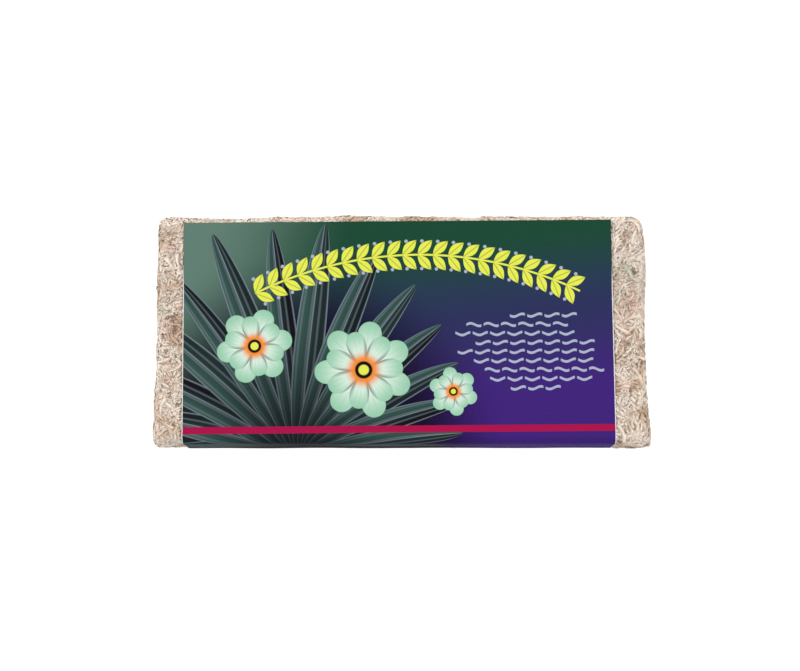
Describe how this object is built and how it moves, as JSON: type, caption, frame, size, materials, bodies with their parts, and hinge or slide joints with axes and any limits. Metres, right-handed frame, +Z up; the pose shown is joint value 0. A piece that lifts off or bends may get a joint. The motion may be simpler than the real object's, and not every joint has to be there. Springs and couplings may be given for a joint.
{
  "type": "pressed sphagnum moss brick with a printed card",
  "caption": "Flat rectangular brick of pressed dried sphagnum moss lying on its back, with a printed card over its face and folded down a long side.",
  "frame": {"origin": "under the middle of the brick, on the surface that it lies on", "axes": "+X along the brick's length, +Y away from the long edge that the card is folded over, +Z up, out of the face that the card covers"},
  "size_m": [0.2028, 0.0952, 0.0268],
  "materials": {
    "dried_moss": "matted dry plant fibre, beige",
    "printed_card": "printed thin card with a light varnish"
  },
  "bodies": {
    "root": {"moss_brick": "dried_moss", "label_card": "printed_card"}
  },
  "joints": []
}
